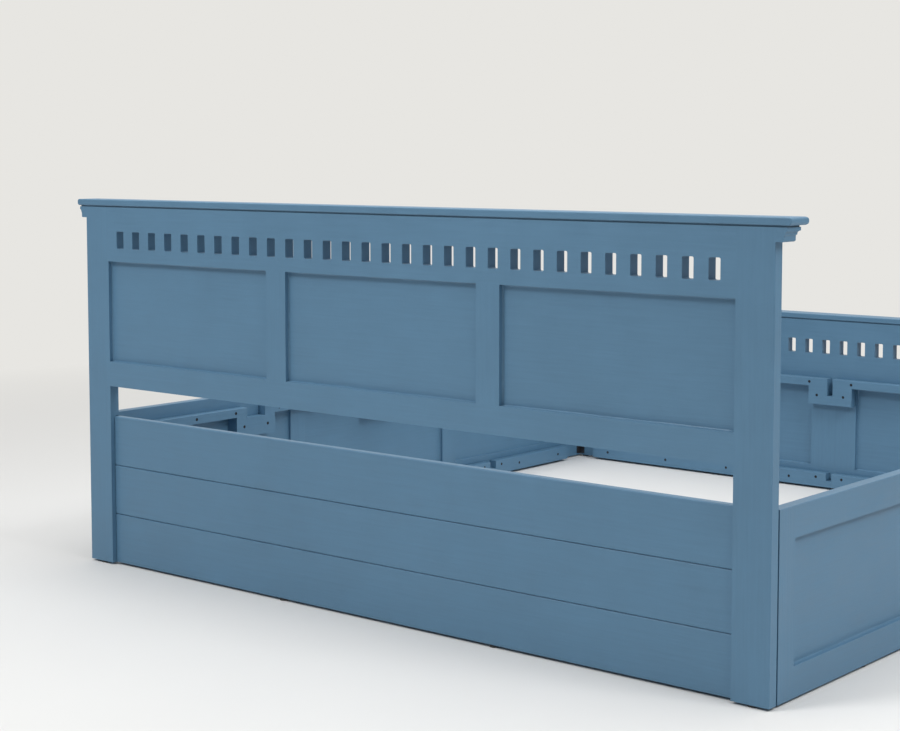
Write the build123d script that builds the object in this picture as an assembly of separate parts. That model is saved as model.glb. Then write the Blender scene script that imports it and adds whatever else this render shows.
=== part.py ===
from build123d import *
import os

# Overall sizes, in millimetres. X runs across the bed, +Y from the headboard to the footboard, +Z up.
# The origin is on the floor under the middle of the bed.
bed_width = 1890
inner_length = 1996
board_thickness = 25
headboard_top = 870
footboard_top = 500
side_top = 363
floor_gap = 5

# Posts, rails and mullions of the four frames
post_width = 80
rail_height = 60
mullion_width = 60
head_rail_height = 130
head_panel_bottom = 498
foot_mullion_width = 144
side_stile_width = 62
edge_ease = 1

# Tenons, and the thin panels that sit in grooves
tenon_thickness = 9
tenon_shoulder = 10
post_tenon_length = 30
stile_tenon_length = 25
mullion_tenon_length = 20
glue_gap = 1
panel_thickness = 5
panel_recess = 11
panel_tongue = 7.6
groove_depth = 8
groove_clearance = 0.2

# Row of cut-outs in both top rails
cutout_count = 30
cutout_inset = 44
cutout_width = 25
cutout_height = 42
cutout_drop = 57.5
cutout_corner = 3

# Planks that close the headboard's lower end
plank_count = 3
plank_thickness = 20
plank_recess = 12
plank_joint = 0.6
plank_chamfer = 2
plank_tongue_thickness = 8
plank_tongue_length = 12
batten_width = 60
batten_thickness = 20
batten_offset = 430

# Cap boards
cap_thickness = 18
cap_end_overhang = 31.5
cap_front_overhang = 36.5
cap_back_lip = 1.5
cap_nose_radius = 6
cap_back_radius = 2.5
cap_groove_height = 3
cap_groove_depth = 4

# Crown moulding under the caps: how far it stands out at each height
crown_height = 26
crown_top_out = 23
crown_top_fillet = 6.5
upper_cove_height = 4.5
crown_bead_out = 18.5
crown_bead_height = 2.5
lower_cove_height = 2.5
crown_foot_out = 16.5
crown_foot_chamfer = 2

# Ledge strips, slotted blocks and floor cleats on the inner walls
strip_thickness = 25
ledge_height = 23
ledge_top = 330
cleat_bottom = 7
cleat_height = 41
block_width = 140
block_height = 54
side_slot_width = 66
side_slot_depth = 27
end_slot_width = 18
end_slot_depth = 50
side_notch_width = 28
notch_depth = 22
side_end_clearance = 104
board_end_clearance = 70
side_slot_count = 3

# Screws in ledges, blocks and cleats: distances from a slot's middle, from an end, and between screws
side_ledge_screw_outer = 73
side_ledge_screw_inner = 87
end_ledge_screw = 68
ledge_end_screw = 47
block_screw = 43
cleat_screw_near = 42
cleat_screw_far = 132
notch_screw_drop = 13
side_cleat_end_screw = 52
end_cleat_end_screw = 58
end_cleat_screw_step = 221

# Wood screws, dowels, corner angles and glides
screw_length = 35
screw_radius = 2
screw_head_radius = 4
screw_head_height = 2.6
screw_tip_length = 5
screw_tip_radius = 0.2
screw_cross_length = 4.8
screw_cross_width = 0.8
screw_cross_depth = 0.9
screw_hole_clearance = 0.1
dowel_radius = 4
dowel_length = 30
dowel_in_thin_board = 10
dowel_clearance = 0.1
dowel_chamfer = 1
cap_dowel_count = 7
cap_dowel_step = 250
side_dowel_heights = (80, 240)
angle_leg = 18
angle_thickness = 2
angle_bottom = 10
angle_top = 300
angle_screw_count = 4
angle_screw_inset = 20
angle_screw_length = 16
angle_screw_radius = 1.75
angle_screw_head_radius = 3.5
angle_screw_head_height = 2
angle_screw_head_round = 1.5
glide_radius = 10
glide_chamfer = 1
glide_pin_radius = 1.5
glide_pin_length = 12
glide_side_step = 650
glide_end_offset = 300
shadow_groove_width = 4
shadow_groove_depth = 5

# Positions that follow from the sizes above
half_width = bed_width / 2
post_inner = half_width - post_width
overall_depth = cap_back_lip + 2 * board_thickness + inner_length + cap_front_overhang
head_back = cap_back_lip - overall_depth / 2
head_front = head_back + board_thickness
foot_back = head_front + inner_length
side_middle = (head_front + foot_back) / 2
side_half = inner_length / 2
side_inner = half_width - board_thickness
plank_front = plank_recess + plank_thickness
strip_screw_z = ledge_top - ledge_height / 2
block_top = ledge_top - ledge_height
foot_rail_bottom = side_top - rail_height
cleat_top = cleat_bottom + cleat_height
cleat_screw_z = cleat_bottom + cleat_height / 2
tenon_span = ((board_thickness - tenon_thickness) / 2, (board_thickness + tenon_thickness) / 2)
board_span = (0, board_thickness)

# Where a frame built with its back face on Y = 0 stands in the bed
head_place = Pos(0, head_back, 0)
foot_place = Pos(0, foot_back, 0)
left_place = Pos(-half_width, side_middle, 0) * Rot(0, 0, -90)
right_place = Pos(half_width, side_middle, 0) * Rot(0, 0, 90)

# Where fittings built against a wall on Y = 0 stand: they reach into the bed
head_wall = Pos(0, head_back + plank_front, 0)
foot_wall = Pos(0, foot_back, 0) * Rot(0, 0, 180)
left_wall = Pos(-side_inner, side_middle, 0) * Rot(0, 0, -90)
right_wall = Pos(side_inner, side_middle, 0) * Rot(0, 0, 90)


def bar(x, y, z):
    """A square-edged piece between two limits along each axis."""
    middle = Pos((x[0] + x[1]) / 2, (y[0] + y[1]) / 2, (z[0] + z[1]) / 2)
    return middle * Box(x[1] - x[0], y[1] - y[0], z[1] - z[0])


def ease(body, along, towards):
    """A piece whose two long edges furthest towards one side are slightly chamfered."""
    edges = body.edges().filter_by(along).sort_by(towards)
    return chamfer(edges[-2:], edge_ease)


def rail(half_span, z, tenon_length):
    """A rail between two stiles, with a stub tenon on each end."""
    body = bar((-half_span, half_span), board_span, z)
    reach = half_span + tenon_length
    tenons = bar((-reach, reach), tenon_span, (z[0] + tenon_shoulder, z[1] - tenon_shoulder))
    return body + tenons


def rail_mortises(half_span, z, tenon_length):
    """Room in the stiles for the tenons of a rail."""
    reach = half_span + tenon_length + glue_gap
    return bar((-reach, reach), tenon_span, (z[0] + tenon_shoulder, z[1] - tenon_shoulder))


def mullion(x, z):
    """An upright between two rails, with a stub tenon on each end."""
    body = bar(x, board_span, z)
    reach = (z[0] - mullion_tenon_length, z[1] + mullion_tenon_length)
    tenons = bar((x[0] + tenon_shoulder, x[1] - tenon_shoulder), tenon_span, reach)
    return body + tenons


def mullion_mortises(x, z):
    """Room in the rails for the tenons of a mullion."""
    depth = mullion_tenon_length + glue_gap
    reach = (z[0] - depth, z[1] + depth)
    return bar((x[0] + tenon_shoulder, x[1] - tenon_shoulder), tenon_span, reach)


def thin_panel(x, z):
    """A thin panel that fills an opening and reaches into the grooves round it."""
    depth = (panel_recess, panel_recess + panel_thickness)
    wide = (x[0] - panel_tongue, x[1] + panel_tongue)
    tall = (z[0] - panel_tongue, z[1] + panel_tongue)
    return bar(wide, depth, tall)


def panel_groove(x, z):
    """Room for a panel's edges in the frame round an opening."""
    near = panel_recess - groove_clearance
    far = panel_recess + panel_thickness + groove_clearance
    wide = (x[0] - groove_depth, x[1] + groove_depth)
    tall = (z[0] - groove_depth, z[1] + groove_depth)
    return bar(wide, (near, far), tall)


def openings(half_span, count, upright_width):
    """Equal openings between the stiles of a frame, with an upright between neighbours."""
    width = (2 * half_span - (count - 1) * upright_width) / count
    starts = [-half_span + i * (width + upright_width) for i in range(count)]
    return [(start, start + width) for start in starts]


def uprights(spans):
    """The widths left between neighbouring openings."""
    return [(left[1], right[0]) for left, right in zip(spans, spans[1:])]


def cutout_row(z_top):
    """The upright cut-outs of a top rail whose upper edge is at z_top."""
    tool = Box(cutout_width, 2 * board_thickness, cutout_height)
    tool = fillet(tool.edges().filter_by(Axis.Y), cutout_corner)
    middle = z_top - cutout_drop - cutout_height / 2
    first = cutout_inset - post_inner
    pitch = -2 * first / (cutout_count - 1)
    return [Pos(first + i * pitch, board_thickness / 2, middle) * tool for i in range(cutout_count)]


def cap_board(z):
    """Cap board: a round nose on the ends and front, a slight rounding at the back, and a groove below."""
    reach = half_width + cap_end_overhang
    y = (-cap_back_lip, board_thickness + cap_front_overhang)
    body = bar((-reach, reach), y, (z + cap_groove_height, z + cap_thickness))
    rims = [edge for face in body.faces().filter_by(Axis.Z) for edge in face.edges()]
    body = fillet([edge for edge in rims if edge.center().Y > y[0] + 1], cap_nose_radius)
    body = fillet(body.faces().sort_by(Axis.Y)[0].edges().filter_by(Axis.X), cap_back_radius)
    inner = half_width + crown_top_out - cap_groove_depth / 2
    base_y = (cap_groove_depth - cap_back_lip, board_thickness + crown_top_out - cap_groove_depth / 2)
    return body + bar((-inner, inner), base_y, (z, z + cap_groove_height))


def cove(start, end):
    """A hollow curve from the edge of one moulding member in to the top of the next."""
    hollow = ((start[0] + 2 * end[0]) / 3, (2 * start[1] + end[1]) / 3)
    return ThreePointArc(start, hollow, end)


def crown_profile():
    """Section of the crown moulding: it stands out along X and hangs down along Y."""
    fillet_foot = (crown_top_out, -crown_top_fillet)
    bead_top = (crown_bead_out, fillet_foot[1] - upper_cove_height)
    bead_foot = (crown_bead_out, bead_top[1] - crown_bead_height)
    foot_top = (crown_foot_out, bead_foot[1] - lower_cove_height)
    upper = Polyline((0, 0), (crown_top_out, 0), fillet_foot)
    bead = Line(bead_top, bead_foot)
    lower = Polyline(foot_top, (crown_foot_out, crown_foot_chamfer - crown_height),
                     (crown_foot_out - crown_foot_chamfer, -crown_height), (0, -crown_height), (0, 0))
    return make_face([upper, cove(fillet_foot, bead_top), bead, cove(bead_foot, foot_top), lower])


def mitre_wedge(turn_in, z):
    """A triangular piece on one side of the 45 degree mitre at the right front corner."""
    reach = 2 * crown_top_out
    corner = (half_width, board_thickness)
    tip = (half_width + reach, board_thickness + reach)
    side = (half_width, tip[1]) if turn_in else (tip[0], board_thickness)
    face = make_face([Polyline(corner, tip, side, corner)])
    return Pos(0, 0, z - crown_height - 1) * extrude(face, crown_height + 2)


def crown_front(z):
    """The long length of crown moulding along the front face, mitred at both ends."""
    reach = half_width + crown_top_out
    start = Plane(origin=(-reach, board_thickness, z), x_dir=(0, 1, 0), z_dir=(1, 0, 0))
    body = extrude(start * crown_profile(), 2 * reach)
    wedge = mitre_wedge(False, z)
    return body - wedge - mirror(wedge, about=Plane.YZ)


def crown_return(z):
    """The short length of crown moulding on the right end, from the back face to the mitre."""
    reach = board_thickness + crown_top_out
    start = Plane(origin=(half_width, reach, z), x_dir=(1, 0, 0), z_dir=(0, -1, 0))
    return extrude(start * crown_profile(), reach) - mitre_wedge(True, z)


def wood_screw():
    """A countersunk screw along -Y: the head is flush with Y = 0."""
    head = Cone(screw_radius, screw_head_radius, screw_head_height, align=(Align.CENTER, Align.CENTER, Align.MAX))
    shank_length = screw_length - screw_head_height - screw_tip_length
    shank = Pos(0, 0, -screw_head_height) * Cylinder(
        screw_radius, shank_length, align=(Align.CENTER, Align.CENTER, Align.MAX))
    tip = Pos(0, 0, screw_tip_length - screw_length) * Cone(
        screw_tip_radius, screw_radius, screw_tip_length, align=(Align.CENTER, Align.CENTER, Align.MAX))
    slot = Box(screw_cross_length, screw_cross_width, 2 * screw_cross_depth)
    return Rot(-90, 0, 0) * (head + shank + tip - slot - Rot(0, 0, 90) * slot)


def screw_hole():
    """Room for a wood screw: pilot and countersink."""
    radius = screw_radius + screw_hole_clearance
    sink_radius = screw_head_radius + screw_hole_clearance
    sink_depth = screw_head_height + screw_hole_clearance
    hole = Cylinder(radius, screw_length + glue_gap, align=(Align.CENTER, Align.CENTER, Align.MAX))
    sink = Cone(radius, sink_radius, sink_depth, align=(Align.CENTER, Align.CENTER, Align.MAX))
    return Rot(-90, 0, 0) * (hole + sink)


def angle_screw():
    """A small domed screw along -Y: the head sits on Y = 0."""
    head = Cylinder(angle_screw_head_radius, angle_screw_head_height, align=(Align.CENTER, Align.CENTER, Align.MIN))
    head = fillet(head.edges().sort_by(Axis.Z)[-1], angle_screw_head_round)
    shank = Cylinder(angle_screw_radius, angle_screw_length, align=(Align.CENTER, Align.CENTER, Align.MAX))
    return Rot(-90, 0, 0) * (head + shank)


def angle_screw_hole():
    """Room for the shank of an angle screw."""
    radius = angle_screw_radius + screw_hole_clearance
    hole = Cylinder(radius, angle_screw_length + glue_gap, align=(Align.CENTER, Align.CENTER, Align.MAX))
    return Rot(-90, 0, 0) * hole


def corner_angle():
    """Steel angle in the right foot corner: one leg on the post, the other on the side frame."""
    z = (angle_bottom, angle_top)
    side_leg = bar((side_inner - angle_thickness, side_inner), (foot_back - angle_leg, foot_back), z)
    post_leg = bar((side_inner - angle_leg, side_inner), (foot_back - angle_thickness, foot_back), z)
    return side_leg + post_leg


def angle_screw_spots():
    """Places of the screws in the right foot corner angle, heads facing into the bed."""
    lowest = angle_bottom + angle_screw_inset
    step = (angle_top - angle_screw_inset - lowest) / (angle_screw_count - 1)
    heights = [lowest + i * step for i in range(angle_screw_count)]
    middle = (angle_leg + angle_thickness) / 2
    spots = []
    for z in heights:
        spots.append(Pos(side_inner - middle, foot_back - angle_thickness, z) * Rot(0, 0, 180))
        spots.append(Pos(side_inner - angle_thickness, foot_back - middle, z) * Rot(0, 0, 90))
    return spots


def four_corners(shape):
    """A shape of the right foot corner, repeated in the other three corners."""
    left = mirror(shape, about=Plane.YZ)
    middle = Plane(origin=(0, side_middle, 0), z_dir=(0, 1, 0))
    return [shape, left, mirror(shape, about=middle), mirror(left, about=middle)]


def dowel():
    """A wooden dowel along Z with eased ends, centred on the origin."""
    body = Cylinder(dowel_radius, dowel_length)
    return chamfer(body.edges().filter_by(GeomType.CIRCLE), dowel_chamfer)


def dowel_hole():
    """Room for a dowel."""
    return Cylinder(dowel_radius + dowel_clearance, dowel_length + glue_gap)


def cap_dowel_spots(place, z):
    """Places of the dowels between a top rail and its cap."""
    middle = z + dowel_in_thin_board - dowel_length / 2
    first = -(cap_dowel_count - 1) / 2 * cap_dowel_step
    return [place * Pos(first + i * cap_dowel_step, board_thickness / 2, middle) for i in range(cap_dowel_count)]


def side_dowel_spots():
    """Places of the dowels between the side frames and the four posts."""
    spots = []
    reach = side_half - dowel_length / 2 + dowel_in_thin_board
    for place in (left_place, right_place):
        for x in (-reach, reach):
            for z in side_dowel_heights:
                spots.append(place * Pos(x, board_thickness / 2, z) * Rot(0, 90, 0))
    return spots


def glide():
    """A round glide with a nail-like pin that stands in the wood above it."""
    foot = chamfer(Cylinder(glide_radius, floor_gap).edges().sort_by(Axis.Z)[0], glide_chamfer)
    pin = Pos(0, 0, (floor_gap + glide_pin_length) / 2) * Cylinder(glide_pin_radius, glide_pin_length)
    return Pos(0, 0, floor_gap / 2) * (foot + pin)


def glide_spots():
    """Places of the glides: under the posts, the side frames, the planks and the footboard's rail."""
    posts = [(side * (half_width - post_width / 2), y + board_thickness / 2)
             for side in (-1, 1) for y in (head_back, foot_back)]
    sides = [(side * (half_width - board_thickness / 2), side_middle + step)
             for side in (-1, 1) for step in (-glide_side_step, 0, glide_side_step)]
    ends = [(side * glide_end_offset, y) for side in (-1, 1)
            for y in (head_back + plank_recess + plank_thickness / 2, foot_back + board_thickness / 2)]
    return [Pos(x, y, 0) for x, y in posts + sides + ends]


def side_slots():
    """Middles of the slots along a side wall: dividers as thick as the notches leave equal bays."""
    bay = (inner_length - side_slot_count * side_notch_width) / (side_slot_count + 1)
    step = bay + side_notch_width
    return [(i - (side_slot_count - 1) / 2) * step for i in range(side_slot_count)]


def strip_edges(half_span, slots, slot_width):
    """Starts and ends of the ledge strips along a wall."""
    edges = [-half_span]
    for x in slots:
        edges += [x - slot_width / 2, x + slot_width / 2]
    return edges + [half_span]


def top_eased_strip(x, z):
    """A strip on a wall with its upper edge towards the bed slightly chamfered."""
    body = bar(x, (0, strip_thickness), z)
    edge = body.edges().filter_by(Axis.X).sort_by(Axis.Y)[-2:].sort_by(Axis.Z)[-1]
    return chamfer(edge, edge_ease)


def strips(half_span, slots, slot_width):
    """Ledge strips along a wall, interrupted at each slot."""
    edges = strip_edges(half_span, slots, slot_width)
    z = (block_top, ledge_top)
    return [top_eased_strip((start, end), z) for start, end in zip(edges[::2], edges[1::2])]


def strip_screws(half_span, slots, slot_width, outer, inner):
    """Places of the screws in the ledge strips: near the wall's ends, in each strip's middle and beside
    each slot, where the screw on the side of the nearer end stands at the outer distance."""
    edges = strip_edges(half_span, slots, slot_width)
    along = [ledge_end_screw - half_span, half_span - ledge_end_screw]
    along += [(start + end) / 2 for start, end in zip(edges[::2], edges[1::2])]
    for x in slots:
        along.append(x - (outer if x <= 0 else inner))
        along.append(x + (outer if x >= 0 else inner))
    return [Pos(x, strip_thickness, strip_screw_z) for x in along]


def block(x, slot_width, slot_depth, packing):
    """A block under the ledge: its slot goes on down from the ledge, and packing fills the recess behind."""
    body = bar((x - block_width / 2, x + block_width / 2), (0, strip_thickness), (block_top - block_height, block_top))
    if slot_depth > ledge_height:
        body -= bar((x - slot_width / 2, x + slot_width / 2), (-1, strip_thickness + 1),
                    (ledge_top - slot_depth, block_top + 1))
    if packing:
        depth = board_thickness - panel_recess - panel_thickness
        body += bar((x - block_width / 2, x + block_width / 2), (-depth, 0),
                    (block_top - block_height, foot_rail_bottom))
    return body


def block_screws(slots):
    """Places of the two screws in each block."""
    z = block_top - block_height / 2
    return [Pos(x + step, strip_thickness, z) for x in slots for step in (-block_screw, block_screw)]


def floor_cleat(half_span, slots, notch_width):
    """Cleat along the bottom of a wall with a notch under each slot."""
    body = top_eased_strip((-half_span, half_span), (cleat_bottom, cleat_top))
    for x in slots:
        body -= bar((x - notch_width / 2, x + notch_width / 2), (-1, strip_thickness + 1),
                    (cleat_top - notch_depth, cleat_top + 1))
    return body


def cleat_screws(slots, others):
    """Places of the screws in a cleat: a higher pair beside each notch, a pair further out, and the others."""
    high = [x + side * cleat_screw_near for x in slots for side in (-1, 1)]
    middle = [x + side * cleat_screw_far for x in slots for side in (-1, 1)] + others
    spots = [Pos(x, strip_thickness, cleat_top - notch_screw_drop) for x in high]
    return spots + [Pos(x, strip_thickness, cleat_screw_z) for x in middle]


def side_cleat_screws(half_span, slots):
    """Places of the screws in a side cleat: beside each notch and near the ends."""
    return cleat_screws(slots, [side * (half_span - side_cleat_end_screw) for side in (-1, 1)])


def end_cleat_screws(half_span):
    """Places of the screws in the head and foot cleats: beside the notch, then at even steps from each end."""
    outer = [half_span - end_cleat_end_screw - i * end_cleat_screw_step for i in range(3)]
    return cleat_screws([0], [side * x for side in (-1, 1) for x in outer])


def placed(place, spots):
    """Local places moved to where their wall stands in the bed."""
    return [place * spot for spot in spots]


def copies(shape, spots):
    """Copies of one shape at each place."""
    return [spot * shape for spot in spots]


def end_post(z_top):
    """The right post of an end board: its free edges are eased up to the crown moulding."""
    z_moulding = z_top - crown_height
    lower = ease(bar((post_inner, half_width), board_span, (floor_gap, z_moulding)), Axis.Z, Axis.X)
    return lower + bar((post_inner, half_width), board_span, (z_moulding, z_top))


def headboard():
    """Posts, rails, mullions, panels, planks and battens of the headboard, and its cap and moulding."""
    spans = openings(post_inner, 3, mullion_width)
    panel_z = (head_panel_bottom, headboard_top - head_rail_height)
    top_z = (panel_z[1], headboard_top)
    low_z = (head_panel_bottom - rail_height, head_panel_bottom)
    grooves = [panel_groove(x, panel_z) for x in spans]
    seats = [mullion_mortises(x, panel_z) for x in uprights(spans)]
    mortises = [rail_mortises(post_inner, z, post_tenon_length) for z in (top_z, low_z)]
    tongue_middle = plank_recess + (board_thickness - plank_recess) / 2
    tongue_y = (tongue_middle - plank_tongue_thickness / 2, tongue_middle + plank_tongue_thickness / 2)
    reach = post_inner + plank_tongue_length
    plank_slot = bar((-reach - glue_gap, reach + glue_gap), tongue_y, (0, side_top + glue_gap))

    parts = {}
    post = end_post(headboard_top) - mortises - grooves - plank_slot
    parts["head_post_right"] = post
    parts["head_post_left"] = mirror(post, about=Plane.YZ)
    parts["head_top_rail"] = rail(post_inner, top_z, post_tenon_length) - grooves - seats - cutout_row(headboard_top)
    parts["head_lower_rail"] = rail(post_inner, low_z, post_tenon_length) - grooves - seats
    for side, x in zip(("left", "right"), uprights(spans)):
        parts["head_mullion_" + side] = mullion(x, panel_z) - grooves
    for side, x in zip(("left", "middle", "right"), spans):
        parts["head_panel_" + side] = thin_panel(x, panel_z)

    plank_height = (side_top - floor_gap - (plank_count - 1) * plank_joint) / plank_count
    for i, level in enumerate(("bottom", "middle", "top")):
        low = floor_gap + i * (plank_height + plank_joint)
        z = (low, low + plank_height)
        plank = bar((-post_inner, post_inner), (plank_recess, plank_front), z)
        plank = chamfer(plank.edges().filter_by(Axis.X), plank_chamfer)
        inset = (low + plank_chamfer, low + plank_height - plank_chamfer)
        parts["head_plank_" + level] = plank + bar((-reach, reach), tongue_y, inset)
    for side, x in (("left", -batten_offset), ("right", batten_offset)):
        y = (plank_front, plank_front + batten_thickness)
        batten = bar((x - batten_width / 2, x + batten_width / 2), y, (cleat_top, block_top))
        parts["head_batten_" + side] = ease(batten, Axis.Z, Axis.Y)
    parts["head_cap"] = cap_board(headboard_top)
    parts["head_moulding_front"] = crown_front(headboard_top)
    parts["head_moulding_right"] = crown_return(headboard_top)
    parts["head_moulding_left"] = mirror(crown_return(headboard_top), about=Plane.YZ)
    return {name: head_place * shape for name, shape in parts.items()}


def footboard():
    """Posts, rails, wide mullion and panels of the footboard, and its cap and moulding."""
    spans = openings(post_inner, 2, foot_mullion_width)
    panel_z = (floor_gap + rail_height, foot_rail_bottom)
    top_z = (foot_rail_bottom, footboard_top)
    low_z = (floor_gap, panel_z[0])
    grooves = [panel_groove(x, panel_z) for x in spans]
    seats = [mullion_mortises(x, panel_z) for x in uprights(spans)]
    mortises = [rail_mortises(post_inner, z, post_tenon_length) for z in (top_z, low_z)]

    parts = {}
    post = end_post(footboard_top) - mortises - grooves
    parts["foot_post_right"] = post
    parts["foot_post_left"] = mirror(post, about=Plane.YZ)
    parts["foot_top_rail"] = rail(post_inner, top_z, post_tenon_length) - grooves - seats - cutout_row(footboard_top)
    parts["foot_bottom_rail"] = rail(post_inner, low_z, post_tenon_length) - grooves - seats
    parts["foot_mullion"] = mullion(uprights(spans)[0], panel_z) - grooves
    for side, x in zip(("left", "right"), spans):
        parts["foot_panel_" + side] = thin_panel(x, panel_z)
    parts["foot_cap"] = cap_board(footboard_top)
    parts["foot_moulding_front"] = crown_front(footboard_top)
    parts["foot_moulding_right"] = crown_return(footboard_top)
    parts["foot_moulding_left"] = mirror(crown_return(footboard_top), about=Plane.YZ)
    return {name: foot_place * shape for name, shape in parts.items()}


def side_frame(side, place):
    """Rails, stiles, mullions and panels of one side frame."""
    stile_inner = side_half - side_stile_width
    spans = openings(stile_inner, 3, mullion_width)
    panel_z = (floor_gap + rail_height, side_top - rail_height)
    top_z = (panel_z[1], side_top)
    low_z = (floor_gap, panel_z[0])
    grooves = [panel_groove(x, panel_z) for x in spans]
    seats = [mullion_mortises(x, panel_z) for x in uprights(spans)]
    mortises = [rail_mortises(stile_inner, z, stile_tenon_length) for z in (top_z, low_z)]

    stile = ease(bar((stile_inner, side_half), board_span, (floor_gap, side_top)), Axis.X, Axis.Z)
    stile = stile - mortises - grooves
    stile -= bar((side_half - shadow_groove_width, side_half + 1), (-1, shadow_groove_depth), (0, side_top + 1))
    other = mirror(stile, about=Plane.YZ)
    head_stile, foot_stile = (stile, other) if side == "left" else (other, stile)
    parts = {
        "top_rail": ease(rail(stile_inner, top_z, stile_tenon_length), Axis.X, Axis.Z) - grooves - seats,
        "bottom_rail": rail(stile_inner, low_z, stile_tenon_length) - grooves - seats,
        "stile_head": head_stile,
        "stile_foot": foot_stile,
        "mullions": Compound(children=[mullion(x, panel_z) - grooves for x in uprights(spans)]),
        "panels": Compound(children=[thin_panel(x, panel_z) for x in spans]),
    }
    return {"side_" + side + "_" + name: place * shape for name, shape in parts.items()}


def side_fittings(side, wall, screws):
    """Ledge strips, slotted blocks and floor cleat of one side wall; the screw places go on the list."""
    half_span = side_half - side_end_clearance
    slots = side_slots()
    name = "side_" + side + "_"
    spots = {
        "ledge": placed(wall, strip_screws(half_span, slots, side_slot_width, side_ledge_screw_outer,
                                            side_ledge_screw_inner)),
        "blocks": placed(wall, block_screws(slots)),
        "cleat": placed(wall, side_cleat_screws(half_span, slots)),
    }
    shapes = {
        "ledge": strips(half_span, slots, side_slot_width),
        "blocks": [block(x, side_slot_width, side_slot_depth, True) for x in slots],
        "cleat": [floor_cleat(half_span, slots, side_notch_width)],
    }
    parts = {}
    for key, pieces in shapes.items():
        holes = copies(screw_hole(), spots[key])
        parts[name + key] = Compound(children=[wall * piece - holes for piece in pieces])
        screws[name + key] = spots[key]
    return parts


def end_fittings(end, wall, screws):
    """Ledge strips, slotted block and floor cleat of the head or foot wall; the screw places go on the list."""
    half_span = side_inner - board_end_clearance
    name = end + "_"
    spots = {
        "ledge": placed(wall, strip_screws(half_span, [0], end_slot_width, end_ledge_screw, end_ledge_screw)),
        "block": placed(wall, block_screws([0])),
        "cleat": placed(wall, end_cleat_screws(half_span)),
    }
    shapes = {
        "ledge": strips(half_span, [0], end_slot_width),
        "block": [block(0, end_slot_width, end_slot_depth, False)],
        "cleat": [floor_cleat(half_span, [0], end_slot_width)],
    }
    parts = {}
    for key, pieces in shapes.items():
        holes = copies(screw_hole(), spots[key])
        parts[name + key] = Compound(children=[wall * piece - holes for piece in pieces])
        screws[name + key] = spots[key]
    return parts


def batten_screws():
    """Places of the screws through the battens into the three planks."""
    rows = [cleat_top + 30, (cleat_top + block_top) / 2, block_top - 30]
    spots = [Pos(side * batten_offset + step, batten_thickness, z)
             for side in (-1, 1) for step in (-15, 15) for z in rows]
    return placed(head_wall, spots)


def drill(parts, names, tool, spots):
    """Cut the same hole at each place into the named pieces."""
    for name in names:
        near = [spot * tool for spot in spots]
        parts[name] = parts[name] - near


def build_bed():
    """All the pieces of the bed by name."""
    parts = {}
    parts.update(headboard())
    parts.update(footboard())
    parts.update(side_frame("left", left_place))
    parts.update(side_frame("right", right_place))

    screws = {}
    parts.update(end_fittings("head", head_wall, screws))
    parts.update(end_fittings("foot", foot_wall, screws))
    parts.update(side_fittings("left", left_wall, screws))
    parts.update(side_fittings("right", right_wall, screws))
    screws["battens"] = batten_screws()

    pilot = screw_hole()
    planks = ["head_plank_bottom", "head_plank_middle", "head_plank_top"]
    drill(parts, ["head_batten_left", "head_batten_right"] + planks, pilot, screws["battens"])
    drill(parts, ["head_plank_top"], pilot, screws["head_ledge"] + screws["head_block"])
    drill(parts, ["head_plank_bottom"], pilot, screws["head_cleat"])
    drill(parts, ["foot_top_rail"], pilot, screws["foot_ledge"])
    drill(parts, ["foot_mullion"], pilot, screws["foot_block"])
    drill(parts, ["foot_bottom_rail"], pilot, screws["foot_cleat"])
    for side in ("side_left_", "side_right_"):
        drill(parts, [side + "top_rail"], pilot, screws[side + "ledge"])
        drill(parts, [side + "panels"], pilot, screws[side + "blocks"])
        drill(parts, [side + "bottom_rail"], pilot, screws[side + "cleat"])
    every_screw = [spot for spots in screws.values() for spot in spots]
    parts["wood_screws"] = Compound(children=copies(wood_screw(), every_screw))

    posts = ["head_post_left", "head_post_right", "foot_post_left", "foot_post_right"]
    stiles = [side + stile for side in ("side_left_", "side_right_") for stile in ("stile_head", "stile_foot")]
    spots = angle_screw_spots()
    angle = corner_angle() - copies(angle_screw_hole(), spots)
    pins = Compound(children=copies(angle_screw(), spots))
    bores = Compound(children=copies(angle_screw_hole(), spots))
    parts["corner_angles"] = Compound(children=four_corners(angle))
    parts["angle_screws"] = Compound(children=[one for group in four_corners(pins) for one in group.solids()])
    corner_bores = four_corners(bores)
    for name in posts + stiles:
        parts[name] = parts[name] - corner_bores

    hole = dowel_hole()
    drill(parts, ["head_cap", "head_top_rail"], hole, cap_dowel_spots(head_place, headboard_top))
    drill(parts, ["foot_cap", "foot_top_rail"], hole, cap_dowel_spots(foot_place, footboard_top))
    drill(parts, posts + stiles, hole, side_dowel_spots())
    every_dowel = cap_dowel_spots(head_place, headboard_top) + cap_dowel_spots(foot_place, footboard_top)
    parts["dowels"] = Compound(children=copies(dowel(), every_dowel + side_dowel_spots()))

    pin_hole = Cylinder(glide_pin_radius, glide_pin_length + glue_gap, align=(Align.CENTER, Align.CENTER, Align.MIN))
    low_pieces = posts + ["side_left_bottom_rail", "side_right_bottom_rail", "foot_bottom_rail", "head_plank_bottom"]
    drill(parts, low_pieces, Pos(0, 0, floor_gap) * pin_hole, glide_spots())
    parts["glides"] = Compound(children=copies(glide(), glide_spots()))
    return parts


os.makedirs("parts", exist_ok=True)
for name, shape in build_bed().items():
    export_step(shape, "parts/" + name + ".step")
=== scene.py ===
import math

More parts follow.
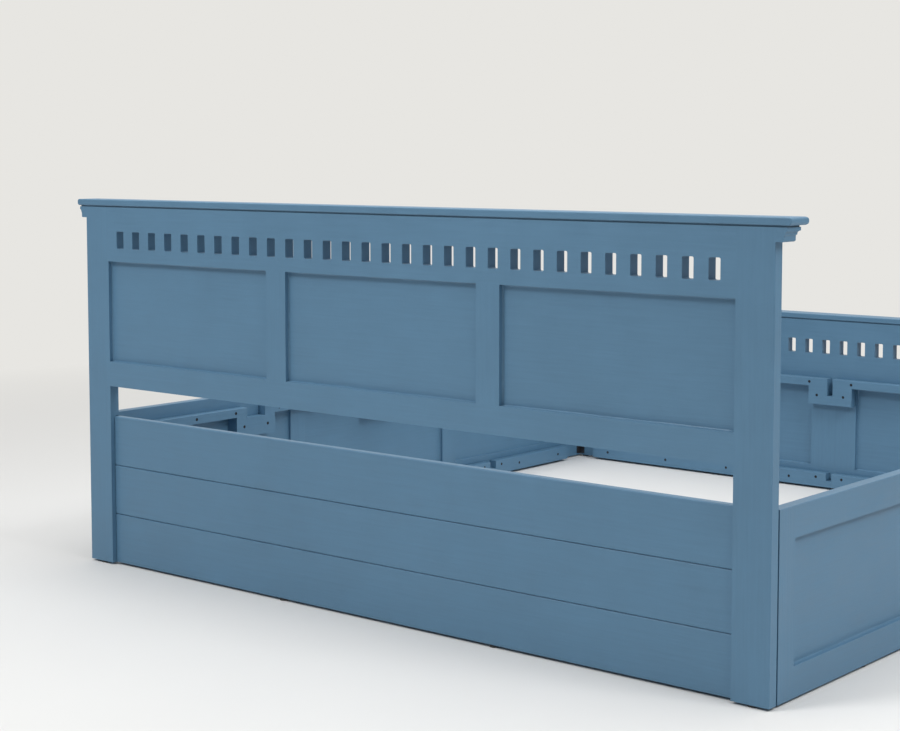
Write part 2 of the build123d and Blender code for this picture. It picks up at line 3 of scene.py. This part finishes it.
import bmesh
import bpy
import numpy as np
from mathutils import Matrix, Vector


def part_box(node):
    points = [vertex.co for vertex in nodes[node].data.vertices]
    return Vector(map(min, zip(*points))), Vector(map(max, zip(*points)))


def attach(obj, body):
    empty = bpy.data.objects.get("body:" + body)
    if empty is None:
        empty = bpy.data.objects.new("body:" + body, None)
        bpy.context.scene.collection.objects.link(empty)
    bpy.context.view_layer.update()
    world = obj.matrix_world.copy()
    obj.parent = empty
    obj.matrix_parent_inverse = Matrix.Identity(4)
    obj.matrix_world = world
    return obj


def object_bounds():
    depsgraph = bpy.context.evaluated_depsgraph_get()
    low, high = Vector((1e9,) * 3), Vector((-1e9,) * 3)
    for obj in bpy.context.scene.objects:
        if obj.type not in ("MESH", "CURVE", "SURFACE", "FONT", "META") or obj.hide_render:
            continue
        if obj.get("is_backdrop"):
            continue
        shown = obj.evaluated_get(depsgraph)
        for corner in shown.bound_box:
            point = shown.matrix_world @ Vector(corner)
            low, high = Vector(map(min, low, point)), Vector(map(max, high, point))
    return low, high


bl_info = {
    "name": "Painted storage bed",
    "version": (1, 0, 0),
    "blender": (4, 5, 0),
    "location": "3D View > Sidebar > Bed",
    "description": "Paints a panelled storage bed, seals its panels and sets a studio round it",
    "category": "Object",
}

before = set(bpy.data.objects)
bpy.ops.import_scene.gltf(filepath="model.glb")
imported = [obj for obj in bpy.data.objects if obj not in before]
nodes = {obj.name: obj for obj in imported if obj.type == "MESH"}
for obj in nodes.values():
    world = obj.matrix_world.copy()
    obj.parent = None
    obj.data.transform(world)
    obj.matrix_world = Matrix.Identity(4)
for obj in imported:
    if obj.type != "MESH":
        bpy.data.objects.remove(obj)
cad_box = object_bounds()

# The panels' hidden edges and the mullions between them, in metres
PANEL_TONGUE = 0.0076
MULLION_WIDTH = 0.06

# How often the wood grain repeats in a metre, along each axis, for grain that runs along X, Y or Z
GRAIN_ALONG = {"X": (7.0, 170.0, 170.0), "Y": (170.0, 7.0, 170.0), "Z": (170.0, 170.0, 7.0)}
UPRIGHT_WORDS = ("post", "stile", "mullion", "batten")
# How far the painted shade in corners and narrow joints reaches, in metres
PAINTED_SHADE_REACH = 0.005
BEAD_SECTION_POINTS = 6
CREASE_ANGLE = math.radians(50)

# Studio, in metres: the sweep, and for each lamp its place, what it points at and the side of its square
SWEEP_HALF_WIDTH = 14.0
SWEEP_FRONT, SWEEP_BACK = -9.0, 9.0
SWEEP_RISE, SWEEP_RADIUS = 9.0, 3.0
TOP_LAMP = ((0.4, 0.3, 4.6), (0.0, 0.0, 0.0), 8.0)
KEY_LAMP = ((4.2, -0.6, 4.0), (0.0, 0.0, 0.4), 1.6)
NEAR_LAMP = ((-1.2, -4.3, 4.1), (0.0, 0.0, 0.4), 1.4)
SKY_COLOUR = (0.93, 0.96, 1.0)


class PaintSettings(bpy.types.PropertyGroup):
    """Steel-blue satin paint on the wooden pieces."""
    colour: bpy.props.FloatVectorProperty(
        name="Paint colour", description="Colour of the satin paint", subtype="COLOR", size=3,
        min=0.0, max=1.0, default=(0.096, 0.206, 0.318))
    tone_spread: bpy.props.FloatProperty(
        name="Tone spread", description="How much lighter and darker the paint gets from place to place",
        subtype="FACTOR", min=0.0, max=0.5, default=0.11)
    # Strength of the painted shade: the paint is darkened in corners and narrow joints where shade falls
    painted_joint_shade: bpy.props.FloatProperty(
        name="Joint shade", description="How much darker the paint looks deep in narrow joints",
        subtype="FACTOR", min=0.0, max=1.0, default=0.85)
    roughness: bpy.props.FloatProperty(
        name="Roughness", description="Mean roughness of the satin paint", subtype="FACTOR",
        min=0.0, max=1.0, default=0.46)
    grain_height: bpy.props.FloatProperty(
        name="Grain height", description="Height of the wood grain and brush marks under the paint",
        subtype="DISTANCE", unit="LENGTH", min=0.0, max=0.002, default=0.0004)
    stipple_height: bpy.props.FloatProperty(
        name="Stipple height", description="Height of the fine roller stipple", subtype="DISTANCE",
        unit="LENGTH", min=0.0, max=0.002, default=0.00006)


class BeadSettings(bpy.types.PropertyGroup):
    """Painted sealant in the corners round each panel."""
    radius: bpy.props.FloatProperty(
        name="Bead radius", description="Radius of the hollow sealant bead round a panel",
        subtype="DISTANCE", unit="LENGTH", min=0.0005, max=0.01, default=0.0032)
    unevenness: bpy.props.FloatProperty(
        name="Unevenness", description="How much the bead's radius wanders along its run",
        subtype="FACTOR", min=0.0, max=0.9, default=0.35)
    step: bpy.props.FloatProperty(
        name="Step", description="Distance between the bead's cross sections", subtype="DISTANCE",
        unit="LENGTH", min=0.005, max=0.1, default=0.018)


class StudioSettings(bpy.types.PropertyGroup):
    """Floor, backdrop and lamps."""
    floor_colour: bpy.props.FloatVectorProperty(
        name="Floor colour", description="Colour of the pale floor and backdrop", subtype="COLOR", size=3,
        min=0.0, max=1.0, default=(0.72, 0.715, 0.70))
    top_power: bpy.props.FloatProperty(
        name="Top lamp", description="Power of the large lamp above the bed", unit="POWER",
        min=0.0, default=265.0)
    key_power: bpy.props.FloatProperty(
        name="Key lamp", description="Power of the large lamp on the right", unit="POWER",
        min=0.0, default=100.0)
    near_power: bpy.props.FloatProperty(
        name="Near lamp", description="Power of the lamp in front of the headboard's outer face",
        unit="POWER", min=0.0, default=118.0)
    sky_strength: bpy.props.FloatProperty(
        name="Sky strength", description="Strength of the even light from all round",
        min=0.0, default=0.26)
    backdrop_colour: bpy.props.FloatVectorProperty(
        name="Backdrop colour", description="Pale colour that the camera sees behind the bed",
        subtype="COLOR", size=3, min=0.0, max=1.0, default=(0.80, 0.79, 0.76))
    fade_start: bpy.props.FloatProperty(
        name="Fade start", description="Distance at which the floor starts to fade to the backdrop colour",
        unit="LENGTH", min=0.0, default=1.6)
    fade_end: bpy.props.FloatProperty(
        name="Fade end", description="Distance at which only the backdrop colour is seen", unit="LENGTH",
        min=0.0, default=4.5)


class CameraSettings(bpy.types.PropertyGroup):
    """Where the camera stands and how it looks."""
    place: bpy.props.FloatVectorProperty(
        name="Place", description="Where the camera stands", subtype="TRANSLATION", unit="LENGTH", size=3,
        default=(2.5484, -3.8666, 1.0068))
    turn: bpy.props.FloatProperty(
        name="Turn", description="Turn to the left from looking along the bed", subtype="ANGLE",
        unit="ROTATION", default=math.radians(40.32))
    dip: bpy.props.FloatProperty(
        name="Dip", description="How far the camera looks down", subtype="ANGLE", unit="ROTATION",
        default=math.radians(4.616))
    roll: bpy.props.FloatProperty(
        name="Roll", description="Tilt of the camera to one side", subtype="ANGLE", unit="ROTATION",
        default=math.radians(0.07))
    lens: bpy.props.FloatProperty(
        name="Lens", description="Focal length", unit="CAMERA", min=1.0, default=72.78)
    shift_x: bpy.props.FloatProperty(
        name="Shift across", description="Shift of the picture to the right, in picture widths",
        default=0.0218)
    shift_y: bpy.props.FloatProperty(
        name="Shift up", description="Shift of the picture upwards, in picture widths", default=-0.0768)


def settings():
    """The four groups of settings, kept on the scene."""
    scene = bpy.context.scene
    return scene.bed_paint, scene.bed_beads, scene.bed_studio, scene.bed_camera


# Materials

def new_material(name):
    """An empty node material with its shader and output joined."""
    material = bpy.data.materials.new(name)
    material.use_nodes = True
    tree = material.node_tree
    tree.nodes.clear()
    shader = tree.nodes.new("ShaderNodeBsdfPrincipled")
    output = tree.nodes.new("ShaderNodeOutputMaterial")
    tree.links.new(shader.outputs["BSDF"], output.inputs["Surface"])
    return material, tree, shader


def object_coordinates(tree, scale=(1.0, 1.0, 1.0), turn=(0.0, 0.0, 0.0)):
    """Object coordinates through a Mapping node, in metres times a scale."""
    source = tree.nodes.new("ShaderNodeTexCoord")
    mapping = tree.nodes.new("ShaderNodeMapping")
    mapping.inputs["Scale"].default_value = scale
    mapping.inputs["Rotation"].default_value = turn
    tree.links.new(source.outputs["Object"], mapping.inputs["Vector"])
    return mapping.outputs["Vector"]


def noise(tree, vector, scale, detail=3.0, roughness=0.5, distortion=0.0):
    """Factor of a noise texture on a vector."""
    node = tree.nodes.new("ShaderNodeTexNoise")
    node.inputs["Scale"].default_value = scale
    node.inputs["Detail"].default_value = detail
    node.inputs["Roughness"].default_value = roughness
    node.inputs["Distortion"].default_value = distortion
    tree.links.new(vector, node.inputs["Vector"])
    return node.outputs["Fac"]


def remap(tree, value, low, high, new_low, new_high):
    """A value carried from one range to another, clamped."""
    node = tree.nodes.new("ShaderNodeMapRange")
    tree.links.new(value, node.inputs["Value"])
    node.inputs["From Min"].default_value = low
    node.inputs["From Max"].default_value = high
    node.inputs["To Min"].default_value = new_low
    node.inputs["To Max"].default_value = new_high
    return node.outputs["Result"]


def combine(tree, first, second, operation="ADD"):
    """Two values through one Math node."""
    node = tree.nodes.new("ShaderNodeMath")
    node.operation = operation
    for socket, value in zip(node.inputs, (first, second)):
        if isinstance(value, (int, float)):
            socket.default_value = value
        else:
            tree.links.new(value, socket)
    return node.outputs["Value"]


def blend_colours(tree, factor, first, second):
    """Two colours mixed by a factor."""
    node = tree.nodes.new("ShaderNodeMix")
    node.data_type = "RGBA"
    tree.links.new(factor, node.inputs["Factor"])
    for name, value in (("A", first), ("B", second)):
        socket = [item for item in node.inputs if item.name == name and item.type == "RGBA"][0]
        if isinstance(value, tuple):
            socket.default_value = (*value, 1.0)
        else:
            tree.links.new(value, socket)
    return [item for item in node.outputs if item.type == "RGBA"][0]


def bump(tree, height, distance, strength=1.0, normal=None):
    """A bump of a real height in metres, on top of another if one is given."""
    node = tree.nodes.new("ShaderNodeBump")
    node.inputs["Distance"].default_value = distance
    node.inputs["Strength"].default_value = strength
    tree.links.new(height, node.inputs["Height"])
    if normal is not None:
        tree.links.new(normal, node.inputs["Normal"])
    return node.outputs["Normal"]


def painted_joint_shade(tree, reach):
    """Painted shade mask from ambient occlusion: 1 on open faces, about a half in corners and less still
    in narrow joints, where shade falls.
    """
    node = tree.nodes.new("ShaderNodeAmbientOcclusion")
    node.samples = 6
    node.inputs["Distance"].default_value = reach
    return node.outputs["AO"]


def shades(colour, spread):
    """A darker and a lighter shade of a colour."""
    return tuple(part * (1 - spread) for part in colour), tuple(part * (1 + spread) for part in colour)


def painted_wood(axis):
    """Satin paint over planed wood whose grain runs along one axis, with painted shade darkening its
    corners and joints.
    """
    paint = settings()[0]
    material, tree, shader = new_material("painted_wood_" + axis.lower())
    stretched = object_coordinates(tree, GRAIN_ALONG[axis])
    plain = object_coordinates(tree)
    grain = noise(tree, stretched, 1.0, 5.0, 0.6, 0.3)
    patches = noise(tree, plain, 2.2, 3.0, 0.55)
    clouds = noise(tree, plain, 14.0, 4.0, 0.6)
    stipple = noise(tree, plain, 520.0, 2.0, 0.5)

    patch_tone = remap(tree, patches, 0.3, 0.7, 0.0, 0.4)
    cloud_tone = remap(tree, clouds, 0.3, 0.7, 0.0, 0.25)
    grain_tone = remap(tree, grain, 0.3, 0.7, 0.0, 0.35)
    tone = combine(tree, combine(tree, patch_tone, cloud_tone), grain_tone)
    dark, light = shades(paint.colour, paint.tone_spread)
    open_colour = blend_colours(tree, tone, dark, light)
    # Painted shade: in corners and narrow joints the colour is drawn towards this darker paint by ambient
    # occlusion, standing in for shade
    deep = tuple(part * (1 - paint.painted_joint_shade) for part in paint.colour)
    shade = remap(tree, painted_joint_shade(tree, PAINTED_SHADE_REACH), 0.2, 0.6, 0.0, 1.0)
    colour = blend_colours(tree, shade, deep, open_colour)
    tree.links.new(colour, shader.inputs["Base Color"])

    grain_gloss = remap(tree, grain, 0.3, 0.7, -0.04, 0.05)
    cloud_gloss = remap(tree, clouds, 0.3, 0.7, -0.05, 0.05)
    gloss = combine(tree, grain_gloss, cloud_gloss)
    tree.links.new(combine(tree, gloss, paint.roughness), shader.inputs["Roughness"])
    normal = bump(tree, grain, paint.grain_height)
    normal = bump(tree, stipple, paint.stipple_height, normal=normal)
    tree.links.new(normal, shader.inputs["Normal"])
    shader.inputs["IOR"].default_value = 1.45
    return material


def painted_sealant():
    """The same paint over smooth sealant: no grain, a few drawn ripples and a little more gloss."""
    paint = settings()[0]
    material, tree, shader = new_material("painted_sealant")
    plain = object_coordinates(tree)
    ripples = noise(tree, plain, 90.0, 2.0, 0.5)
    dark, light = shades(paint.colour, paint.tone_spread)
    tree.links.new(blend_colours(tree, ripples, dark, light), shader.inputs["Base Color"])
    tree.links.new(remap(tree, ripples, 0.3, 0.7, 0.3, 0.4), shader.inputs["Roughness"])
    tree.links.new(bump(tree, ripples, 0.0002), shader.inputs["Normal"])
    shader.inputs["IOR"].default_value = 1.45
    return material


def bare_beech():
    """Bare beech of the dowels: warm wood with fine flecks along its length."""
    material, tree, shader = new_material("bare_beech")
    fibres = noise(tree, object_coordinates(tree, (300.0, 300.0, 24.0)), 1.0, 5.0, 0.6)
    flecks = noise(tree, object_coordinates(tree, (900.0, 900.0, 120.0)), 1.0, 2.0, 0.5)
    fibre_tone = remap(tree, fibres, 0.3, 0.7, 0.0, 1.0)
    colour = blend_colours(tree, fibre_tone, (0.50, 0.31, 0.16), (0.70, 0.50, 0.30))
    colour = blend_colours(tree, remap(tree, flecks, 0.62, 0.7, 0.0, 0.6), colour, (0.33, 0.18, 0.09))
    tree.links.new(colour, shader.inputs["Base Color"])
    tree.links.new(remap(tree, fibres, 0.3, 0.7, 0.55, 0.7), shader.inputs["Roughness"])
    tree.links.new(bump(tree, fibres, 0.0001), shader.inputs["Normal"])
    return material


def black_steel(name, colour, metallic, roughness, grain_size):
    """Blackened or coated steel with a fine uneven skin."""
    material, tree, shader = new_material(name)
    plain = object_coordinates(tree)
    skin = noise(tree, plain, 1.0 / grain_size, 3.0, 0.6)
    cloud = noise(tree, plain, 0.08 / grain_size, 3.0, 0.6)
    dark, light = shades(colour, 0.3)
    tree.links.new(blend_colours(tree, remap(tree, cloud, 0.3, 0.7, 0.0, 1.0), dark, light),
                   shader.inputs["Base Color"])
    gloss = remap(tree, cloud, 0.3, 0.7, roughness - 0.07, roughness + 0.08)
    tree.links.new(gloss, shader.inputs["Roughness"])
    tree.links.new(bump(tree, skin, grain_size * 0.06), shader.inputs["Normal"])
    shader.inputs["Metallic"].default_value = metallic
    return material


def moulded_plastic():
    """Matte black moulded plastic of the glides, with a fine spark texture and scuffs."""
    material, tree, shader = new_material("glide_plastic")
    plain = object_coordinates(tree)
    spark = noise(tree, plain, 1400.0, 2.0, 0.5)
    scuffs = noise(tree, object_coordinates(tree, (60.0, 320.0, 60.0), (0.0, 0.0, 0.6)), 1.0, 3.0, 0.6)
    tree.links.new(blend_colours(tree, remap(tree, scuffs, 0.55, 0.75, 0.0, 1.0), (0.022, 0.022, 0.024),
                                 (0.06, 0.058, 0.055)), shader.inputs["Base Color"])
    tree.links.new(remap(tree, scuffs, 0.4, 0.7, 0.62, 0.5), shader.inputs["Roughness"])
    tree.links.new(bump(tree, spark, 0.00004), shader.inputs["Normal"])
    return material


def studio_paper():
    """Plain pale floor and backdrop.

    Round the bed it is matt paper that takes the bed's shadow. Further out the camera and gloss see its
    own even colour instead, so that no horizon shows, while light still bounces off it as off paper.
    """
    studio = settings()[2]
    material, tree, shader = new_material("studio_paper")
    plain = object_coordinates(tree)
    mottle = noise(tree, plain, 3.0, 4.0, 0.6)
    dark, light = shades(studio.floor_colour, 0.012)
    tree.links.new(blend_colours(tree, mottle, dark, light), shader.inputs["Base Color"])
    tree.links.new(remap(tree, mottle, 0.3, 0.7, 0.7, 0.8), shader.inputs["Roughness"])
    glow = tree.nodes.new("ShaderNodeEmission")
    glow.inputs["Color"].default_value = (*studio.backdrop_colour, 1.0)
    rays = tree.nodes.new("ShaderNodeLightPath")
    seen = combine(tree, rays.outputs["Is Camera Ray"], rays.outputs["Is Glossy Ray"], "MAXIMUM")
    seen = combine(tree, seen, rays.outputs["Is Transmission Ray"], "MAXIMUM")
    distance = tree.nodes.new("ShaderNodeVectorMath")
    distance.operation = "LENGTH"
    tree.links.new(plain, distance.inputs[0])
    far = remap(tree, distance.outputs["Value"], studio.fade_start, studio.fade_end, 0.0, 1.0)
    mix = tree.nodes.new("ShaderNodeMixShader")
    tree.links.new(combine(tree, seen, far, "MULTIPLY"), mix.inputs["Fac"])
    tree.links.new(shader.outputs["BSDF"], mix.inputs[1])
    tree.links.new(glow.outputs["Emission"], mix.inputs[2])
    output = [node for node in tree.nodes if node.bl_idname == "ShaderNodeOutputMaterial"][0]
    tree.links.new(mix.outputs["Shader"], output.inputs["Surface"])
    return material


def finish_node(name, material):
    """Give every material slot of a frame node one material."""
    for slot in nodes[name].material_slots:
        slot.material = material


def grain_axis(name):
    """The axis that a wooden node's grain runs along: upright, or else along its longest side."""
    if any(word in name for word in UPRIGHT_WORDS):
        return "Z"
    low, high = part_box(name)
    sides = [high[i] - low[i] for i in range(3)]
    return "XYZ"[sides.index(max(sides))]


def paint_nodes(prefixes):
    """Paint the wooden nodes whose names start with one of the words."""
    for name in nodes:
        if name.startswith(prefixes):
            axis = grain_axis(name)
            material = bpy.data.materials.get("painted_wood_" + axis.lower()) or painted_wood(axis)
            finish_node(name, material)


# Surfaces worked out as arrays

def grid_faces(rows, columns, closed):
    """Corner numbers of the quads of a grid of points, which closes on itself both ways if asked."""
    row = np.arange(rows if closed else rows - 1)
    column = np.arange(columns if closed else columns - 1)
    r, c = (part.ravel() for part in np.meshgrid(row, column, indexing="ij"))
    r_next, c_next = (r + 1) % rows, (c + 1) % columns
    return np.stack([r * columns + c, r * columns + c_next,
                     r_next * columns + c_next, r_next * columns + c], axis=1)


def mesh_from_grids(name, grids, closed):
    """One smooth mesh of several grids of points."""
    points, faces, start = [], [], 0
    for grid in grids:
        points.append(grid.reshape(-1, 3))
        faces.append(grid_faces(*grid.shape[:2], closed) + start)
        start += len(points[-1])
    mesh = bpy.data.meshes.new(name)
    mesh.from_pydata(np.concatenate(points).tolist(), [], np.concatenate(faces).tolist())
    mesh.polygons.foreach_set("use_smooth", np.ones(len(mesh.polygons), bool))
    mesh.update()
    return mesh


def wander(along, seed):
    """Smooth uneven value between -1 and 1: three sine waves of unlike lengths, shifted by a seed."""
    waves = np.sin(23.0 * along + 1.7 * seed) + 0.6 * np.sin(57.0 * along + 2.9 * seed)
    return (waves + 0.4 * np.sin(131.0 * along + 4.3 * seed)) / 2.0


def bead_points(half_u, half_v, bead, seed):
    """Hollow sealant bead round a rectangle, as a grid of (u, v, height) points.

    The path runs round the rectangle's four sides. At each place the section is a quarter circle that
    curves in from the wall to the panel, closed by the corner behind it. Its radius is the bead's radius
    times 1 plus a smooth uneven value. On the sides the section moves straight in from the wall, and at
    the corners it moves in along both sides, so that the runs meet in mitres.
    """
    count_u = max(2, round(2 * half_u / bead.step))
    count_v = max(2, round(2 * half_v / bead.step))
    run_u = np.linspace(-1, 1, count_u, endpoint=False)
    run_v = np.linspace(-1, 1, count_v, endpoint=False)
    path_u = np.concatenate([run_u, np.ones(count_v), -run_u, -np.ones(count_v)])
    path_v = np.concatenate([-np.ones(count_u), run_v, np.ones(count_u), -run_v])
    inward_u = -np.sign(path_u) * (np.abs(path_u) == 1)
    inward_v = -np.sign(path_v) * (np.abs(path_v) == 1)
    step_u = np.diff(path_u, append=path_u[:1]) * half_u
    step_v = np.diff(path_v, append=path_v[:1]) * half_v
    steps = np.hypot(step_u, step_v)
    along = np.concatenate([[0.0], np.cumsum(steps)[:-1]])
    radius = bead.radius * (1 + bead.unevenness * wander(along, seed))
    angle = np.linspace(0, math.pi / 2, BEAD_SECTION_POINTS)
    section_in = np.concatenate([1 - np.cos(angle), [0.0]])
    section_up = np.concatenate([1 - np.sin(angle), [0.0]])
    move = radius[:, None] * section_in[None, :]
    u = path_u[:, None] * half_u + inward_u[:, None] * move
    v = path_v[:, None] * half_v + inward_v[:, None] * move
    height = radius[:, None] * section_up[None, :]
    return np.stack([u, v, height], axis=2)


def openings_of(name, count):
    """The openings that a panel node fills: its box less the tongues, in equal parts between mullions.

    Gives the axis they run along, their middles, their half size and the node's box.
    """
    low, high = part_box(name)
    across = 1 if high[1] - low[1] > high[0] - low[0] else 0
    start, end = low[across] + PANEL_TONGUE, high[across] - PANEL_TONGUE
    width = (end - start - (count - 1) * MULLION_WIDTH) / count
    middle_z = (low[2] + high[2]) / 2
    half_z = (high[2] - low[2]) / 2 - PANEL_TONGUE
    middles = [start + width / 2 + i * (width + MULLION_WIDTH) for i in range(count)]
    return across, [(middle, middle_z) for middle in middles], (width / 2, half_z), (low, high)


def bead_grids(name, count, seed):
    """Grids of the beads on both faces of a panel node, in the bed's frame."""
    bead = settings()[1]
    across, middles, (half_u, half_v), (low, high) = openings_of(name, count)
    depth = 1 - across
    grids = []
    for i, (middle, middle_z) in enumerate(middles):
        for face, outwards in ((low[depth], -1.0), (high[depth], 1.0)):
            local = bead_points(half_u, half_v, bead, seed + 7 * i + outwards)
            points = np.empty_like(local)
            points[..., across] = middle + local[..., 0]
            points[..., 2] = middle_z + local[..., 1]
            points[..., depth] = face + outwards * local[..., 2]
            grids.append(points)
    return grids


def outward(mesh):
    """Turn every face of a closed mesh outwards."""
    work = bmesh.new()
    work.from_mesh(mesh)
    bmesh.ops.recalc_face_normals(work, faces=work.faces)
    work.to_mesh(mesh)
    work.free()


def add_beads(name, panels):
    """One piece with the beads of the named panel nodes, given as name and count of openings."""
    grids = []
    for seed, (panel, count) in enumerate(panels):
        grids += bead_grids(panel, count, 11.0 * seed)
    mesh = mesh_from_grids(name, grids, closed=True)
    outward(mesh)
    mesh.set_sharp_from_angle(angle=CREASE_ANGLE)
    piece = bpy.data.objects.new(name, mesh)
    bpy.context.scene.collection.objects.link(piece)
    mesh.materials.append(bpy.data.materials.get("painted_sealant") or painted_sealant())
    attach(piece, "root")


def sweep_points(turn):
    """Studio sweep as a grid: a flat floor, a quarter circle up, then an upright wall, carried across.

    The grid is then turned about the upright axis, so that the wall stands square to the camera.
    """
    start = SWEEP_BACK - SWEEP_RADIUS
    angle = np.linspace(0, math.pi / 2, 24)
    depth = np.concatenate([np.linspace(SWEEP_FRONT, start, 12),
                            start + SWEEP_RADIUS * np.sin(angle[1:]), [SWEEP_BACK]])
    height = np.concatenate([np.zeros(12), SWEEP_RADIUS * (1 - np.cos(angle[1:])), [SWEEP_RISE]])
    across, along = np.meshgrid(np.linspace(-SWEEP_HALF_WIDTH, SWEEP_HALF_WIDTH, 3), depth)
    up = np.repeat(height[:, None], 3, axis=1)
    return np.stack([across * math.cos(turn) - along * math.sin(turn),
                     across * math.sin(turn) + along * math.cos(turn), up], axis=2)


class BED_OT_headboard(bpy.types.Operator):
    """Paint the headboard's posts, rails, mullions, panels, planks, cap and moulding"""
    bl_idname = "bed.headboard"
    bl_label = "Paint headboard"

    def execute(self, context):
        paint_nodes(("head_",))
        return {"FINISHED"}


class BED_OT_footboard(bpy.types.Operator):
    """Paint the footboard's posts, rails, mullion, panels, cap and moulding"""
    bl_idname = "bed.footboard"
    bl_label = "Paint footboard"

    def execute(self, context):
        paint_nodes(("foot_",))
        return {"FINISHED"}


class BED_OT_sides(bpy.types.Operator):
    """Paint both side frames with their ledges, blocks and cleats"""
    bl_idname = "bed.sides"
    bl_label = "Paint sides"

    def execute(self, context):
        paint_nodes(("side_",))
        return {"FINISHED"}


class BED_OT_hardware(bpy.types.Operator):
    """Finish the screws, corner angles, dowels and glides"""
    bl_idname = "bed.hardware"
    bl_label = "Finish hardware"

    def execute(self, context):
        screw = black_steel("black_screw_steel", (0.03, 0.03, 0.033), 0.7, 0.42, 0.0006)
        coated = black_steel("coated_angle_steel", (0.025, 0.026, 0.03), 0.1, 0.5, 0.0012)
        finish_node("wood_screws", screw)
        finish_node("angle_screws", screw)
        finish_node("corner_angles", coated)
        finish_node("dowels", bare_beech())
        finish_node("glides", moulded_plastic())
        return {"FINISHED"}


class BED_OT_beads(bpy.types.Operator):
    """Run a painted sealant bead round every panel on both faces"""
    bl_idname = "bed.beads"
    bl_label = "Seal panels"

    def execute(self, context):
        add_beads("head_beads", [("head_panel_" + place, 1) for place in ("left", "middle", "right")])
        add_beads("foot_beads", [("foot_panel_" + place, 1) for place in ("left", "right")])
        add_beads("side_left_beads", [("side_left_panels", 3)])
        add_beads("side_right_beads", [("side_right_panels", 3)])
        return {"FINISHED"}


class BED_OT_studio(bpy.types.Operator):
    """Lay the pale floor and backdrop and hang the soft lamps"""
    bl_idname = "bed.studio"
    bl_label = "Set studio"

    def execute(self, context):
        studio, camera = settings()[2:]
        mesh = mesh_from_grids("studio_sweep", [sweep_points(camera.turn)], closed=False)
        mesh.materials.append(studio_paper())
        sweep = bpy.data.objects.new("studio_sweep", mesh)
        context.scene.collection.objects.link(sweep)
        sweep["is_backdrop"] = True
        add_lamp("top_lamp", *TOP_LAMP, studio.top_power)
        add_lamp("key_lamp", *KEY_LAMP, studio.key_power)
        add_lamp("near_lamp", *NEAR_LAMP, studio.near_power)
        light_sky(studio.sky_strength)
        context.scene.view_settings.view_transform = "Standard"
        return {"FINISHED"}


def add_lamp(name, place, target, size, power):
    """A large square lamp that points at a target."""
    data = bpy.data.lights.new(name, "AREA")
    data.shape = "SQUARE"
    data.size = size
    data.energy = power
    lamp = bpy.data.objects.new(name, data)
    direction = np.array(target) - np.array(place)
    flat = math.hypot(direction[0], direction[1])
    lamp.location = place
    turn = math.atan2(direction[1], direction[0]) - math.pi / 2
    lamp.rotation_euler = (math.atan2(flat, -direction[2]), 0.0, turn)
    bpy.context.scene.collection.objects.link(lamp)


def light_sky(strength):
    """Even pale light from all round."""
    world = bpy.data.worlds.new("studio_sky")
    world.use_nodes = True
    bpy.context.scene.world = world
    background = world.node_tree.nodes["Background"]
    background.inputs["Color"].default_value = (*SKY_COLOUR, 1.0)
    background.inputs["Strength"].default_value = strength


class BED_OT_camera(bpy.types.Operator):
    """Stand the camera behind and to the right of the headboard"""
    bl_idname = "bed.camera"
    bl_label = "Set camera"

    def execute(self, context):
        view = settings()[3]
        data = bpy.data.cameras.new("camera")
        data.sensor_fit = "HORIZONTAL"
        data.sensor_width = 36.0
        data.lens = view.lens
        data.shift_x = view.shift_x
        data.shift_y = view.shift_y
        data.clip_end = 60.0
        camera = bpy.data.objects.new("camera", data)
        camera.location = view.place
        camera.rotation_euler = (math.pi / 2 - view.dip, view.roll, view.turn)
        context.scene.collection.objects.link(camera)
        context.scene.camera = camera
        return {"FINISHED"}


class BED_PT_sidebar(bpy.types.Panel):
    """The bed's settings and steps in the 3D view's sidebar"""
    bl_idname = "BED_PT_sidebar"
    bl_label = "Storage bed"
    bl_space_type = "VIEW_3D"
    bl_region_type = "UI"
    bl_category = "Bed"

    def draw(self, context):
        layout = self.layout
        for group in settings():
            box = layout.box()
            for key in group.__annotations__:
                box.prop(group, key)
        for operator in OPERATORS:
            layout.operator(operator.bl_idname)


GROUPS = {
    "bed_paint": PaintSettings,
    "bed_beads": BeadSettings,
    "bed_studio": StudioSettings,
    "bed_camera": CameraSettings,
}
OPERATORS = (BED_OT_headboard, BED_OT_footboard, BED_OT_sides, BED_OT_hardware, BED_OT_beads,
             BED_OT_camera, BED_OT_studio)


def register():
    """Make the settings, steps and panel known to Blender."""
    for kind in (*GROUPS.values(), *OPERATORS, BED_PT_sidebar):
        bpy.utils.register_class(kind)
    for name, group in GROUPS.items():
        setattr(bpy.types.Scene, name, bpy.props.PointerProperty(type=group))


def unregister():
    """Take the settings, steps and panel out again."""
    for name in GROUPS:
        delattr(bpy.types.Scene, name)
    for kind in reversed((*GROUPS.values(), *OPERATORS, BED_PT_sidebar)):
        bpy.utils.unregister_class(kind)


def write_sizes():
    """Work out the frame's box and the finished bed's box as plain lists, which are then dropped."""
    boxes = {"cad": cad_box, "visual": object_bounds()}
    boxes = {kind: [list(corner) for corner in box] for kind, box in boxes.items()}


def main():
    """Register the add-on and run its steps in order."""
    register()
    bpy.ops.bed.headboard()
    bpy.ops.bed.footboard()
    bpy.ops.bed.sides()
    bpy.ops.bed.hardware()
    bpy.ops.bed.beads()
    bpy.ops.bed.camera()
    bpy.ops.bed.studio()
    write_sizes()


if __name__ == "__main__":
    main()
